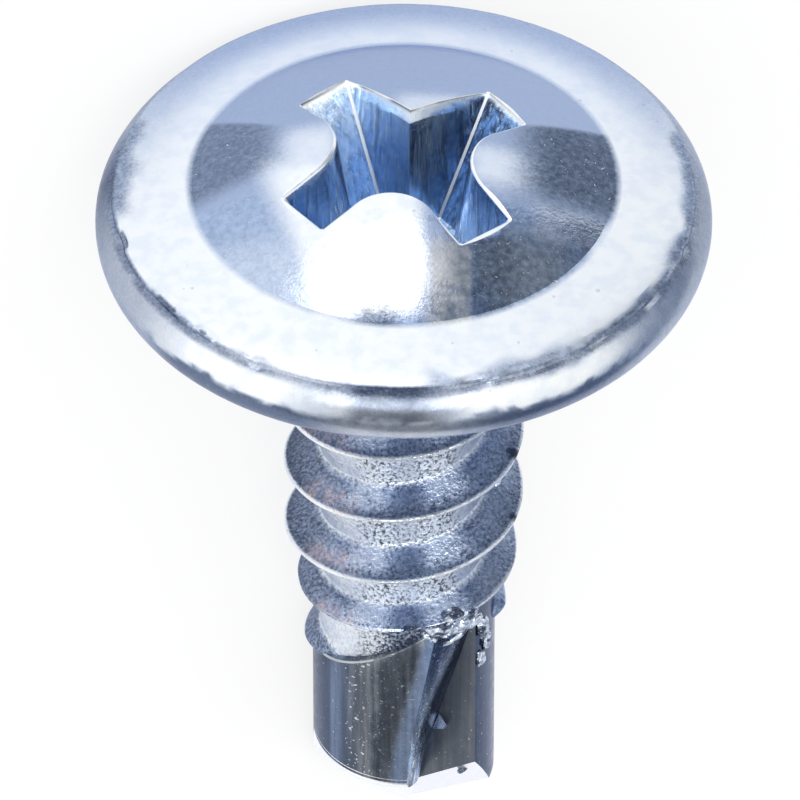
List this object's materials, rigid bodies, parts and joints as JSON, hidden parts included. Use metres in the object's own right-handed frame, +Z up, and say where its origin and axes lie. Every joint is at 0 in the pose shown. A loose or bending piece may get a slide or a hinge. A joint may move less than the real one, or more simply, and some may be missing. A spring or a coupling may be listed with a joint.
{
  "type": "self drilling screw",
  "caption": "Zinc plated self drilling screw with a wide flange head, a low dome with a cross recess, a coarse thread and a fluted drill point.",
  "frame": {"origin": "on the plane the screw rests on, z = 0, under the middle of its bounding box", "axes": "+Z up; the screw lies on its flange's rim and its drill's end, with its head towards +X and its point towards -X, and its axis rises towards the head by 17.9 degrees"},
  "size_m": [0.0146, 0.0102, 0.0098],
  "materials": {
    "zinc_plate": "bright blue-white zinc plate on forged and rolled steel"
  },
  "bodies": {
    "root": {"screw": "zinc_plate"}
  },
  "joints": []
}
